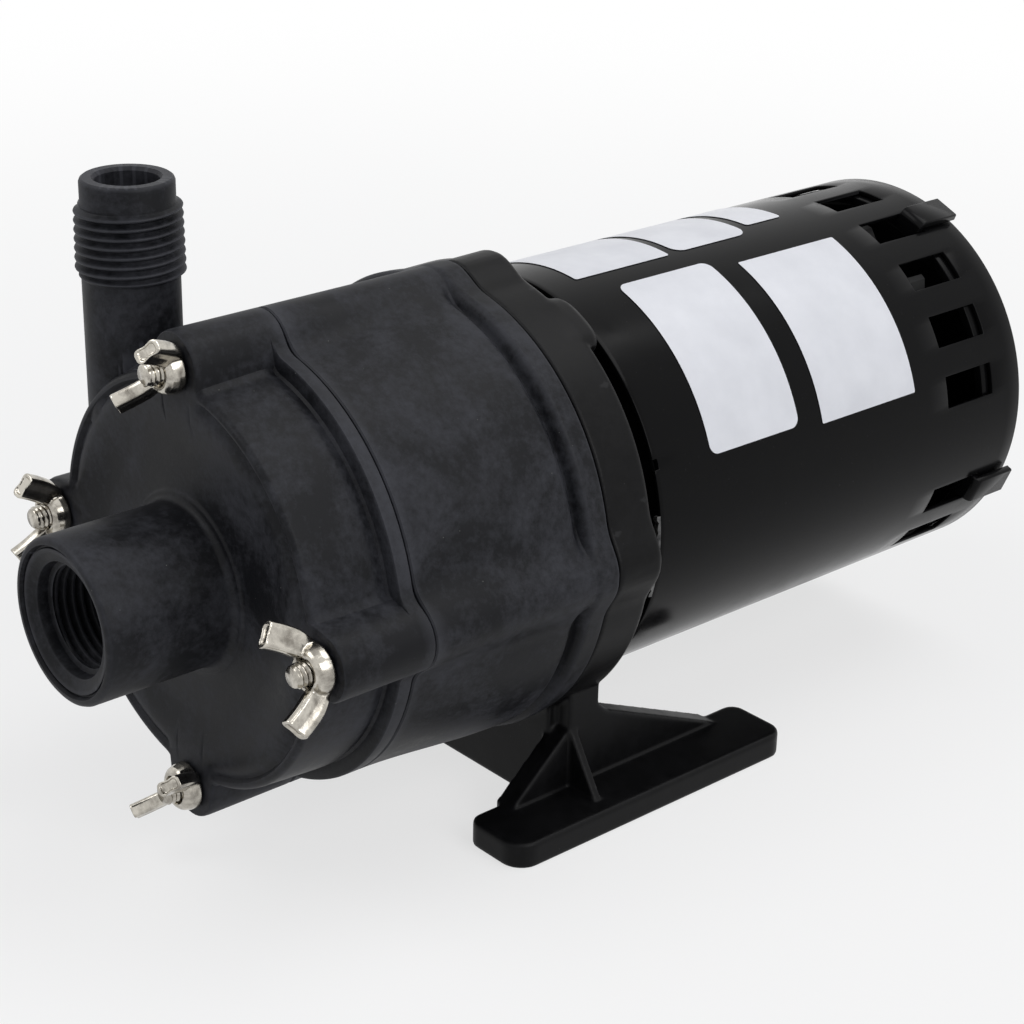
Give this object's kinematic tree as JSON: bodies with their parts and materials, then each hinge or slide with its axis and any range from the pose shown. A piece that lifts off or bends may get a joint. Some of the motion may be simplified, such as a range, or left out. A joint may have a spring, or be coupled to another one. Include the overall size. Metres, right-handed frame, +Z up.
{
  "type": "magnetic drive centrifugal pump",
  "caption": "Close-coupled centrifugal pump with a threaded inlet and upright outlet, wing-nut casing, foot base and fan-cooled cylindrical motor.",
  "frame": {"origin": "on the floor under the shaft line, in the middle of the underside of the base's cross web", "axes": "+Y along the shaft from the inlet to the motor's rear, +Z up, +X to the right seen from the inlet"},
  "size_m": [0.1016, 0.2253, 0.1315],
  "materials": {
    "charcoal_plastic": "satin moulded, glass filled",
    "wet_plastic": "moulded",
    "black_plastic": "satin moulded",
    "seal_rubber": "matte",
    "alumina": "ground ceramic",
    "ferrite": "sintered",
    "bright_steel": "machined",
    "nickel_plate": "nickel plated",
    "gloss_black_paint": "gloss black",
    "lamination_steel": "stacked laminations",
    "enamelled_copper": "enamelled wire"
  },
  "bodies": {
    "pump_frame": {"volute_housing": "charcoal_plastic", "rear_housing": "wet_plastic", "housing_seal": "seal_rubber", "spindle": "alumina", "front_thrust_washer": "alumina", "rear_thrust_washer": "alumina", "motor_bracket": "charcoal_plastic", "mounting_base": "black_plastic", "case_bolt_top": "nickel_plate", "case_bolt_right": "nickel_plate", "case_bolt_bottom": "nickel_plate", "case_bolt_left": "nickel_plate", "motor_screw_1": "bright_steel", "motor_screw_2": "bright_steel", "motor_screw_3": "bright_steel", "motor_screw_4": "bright_steel", "front_end_bell": "gloss_black_paint", "front_bearing": "bright_steel", "motor_shell": "gloss_black_paint", "stator_core": "lamination_steel", "front_winding": "enamelled_copper", "rear_winding": "enamelled_copper", "rear_bearing": "bright_steel", "rear_end_bell": "gloss_black_paint"},
    "motor_rotor": {"motor_shaft": "bright_steel", "rotor_core": "lamination_steel", "cooling_fan": "black_plastic", "fan_clip": "bright_steel", "drive_magnet_cup": "bright_steel", "drive_magnet": "ferrite", "cup_set_screw": "bright_steel"},
    "impeller_rotor": {"impeller": "wet_plastic", "driven_magnet": "ferrite", "magnet_jacket": "wet_plastic"},
    "nut_top": {"wing_nut_top": "nickel_plate"},
    "nut_right": {"wing_nut_right": "nickel_plate"},
    "nut_bottom": {"wing_nut_bottom": "nickel_plate"},
    "nut_left": {"wing_nut_left": "nickel_plate"}
  },
  "joints": [
    {"name": "motor_spin", "type": "hinge", "parent": "pump_frame", "child": "motor_rotor", "pos_m": [0, 0, 0.06], "axis": [0, 1, 0], "continuous": true},
    {"name": "impeller_spin", "type": "hinge", "parent": "pump_frame", "child": "impeller_rotor", "pos_m": [0, 0, 0.06], "axis": [0, 1, 0], "continuous": true},
    {"name": "nut_top_turn", "type": "hinge", "parent": "pump_frame", "child": "nut_top", "pos_m": [0, -0.0688, 0.1037], "axis": [0, 1, 0], "continuous": true},
    {"name": "nut_right_turn", "type": "hinge", "parent": "pump_frame", "child": "nut_right", "pos_m": [0.0437, -0.0688, 0.06], "axis": [0, 1, 0], "continuous": true},
    {"name": "nut_bottom_turn", "type": "hinge", "parent": "pump_frame", "child": "nut_bottom", "pos_m": [0, -0.0688, 0.0163], "axis": [0, 1, 0], "continuous": true},
    {"name": "nut_left_turn", "type": "hinge", "parent": "pump_frame", "child": "nut_left", "pos_m": [-0.0437, -0.0688, 0.06], "axis": [0, 1, 0], "continuous": true}
  ],
  "couplings": [
    {"joint": "impeller_spin", "follows": "motor_spin", "ratio": 1}
  ]
}
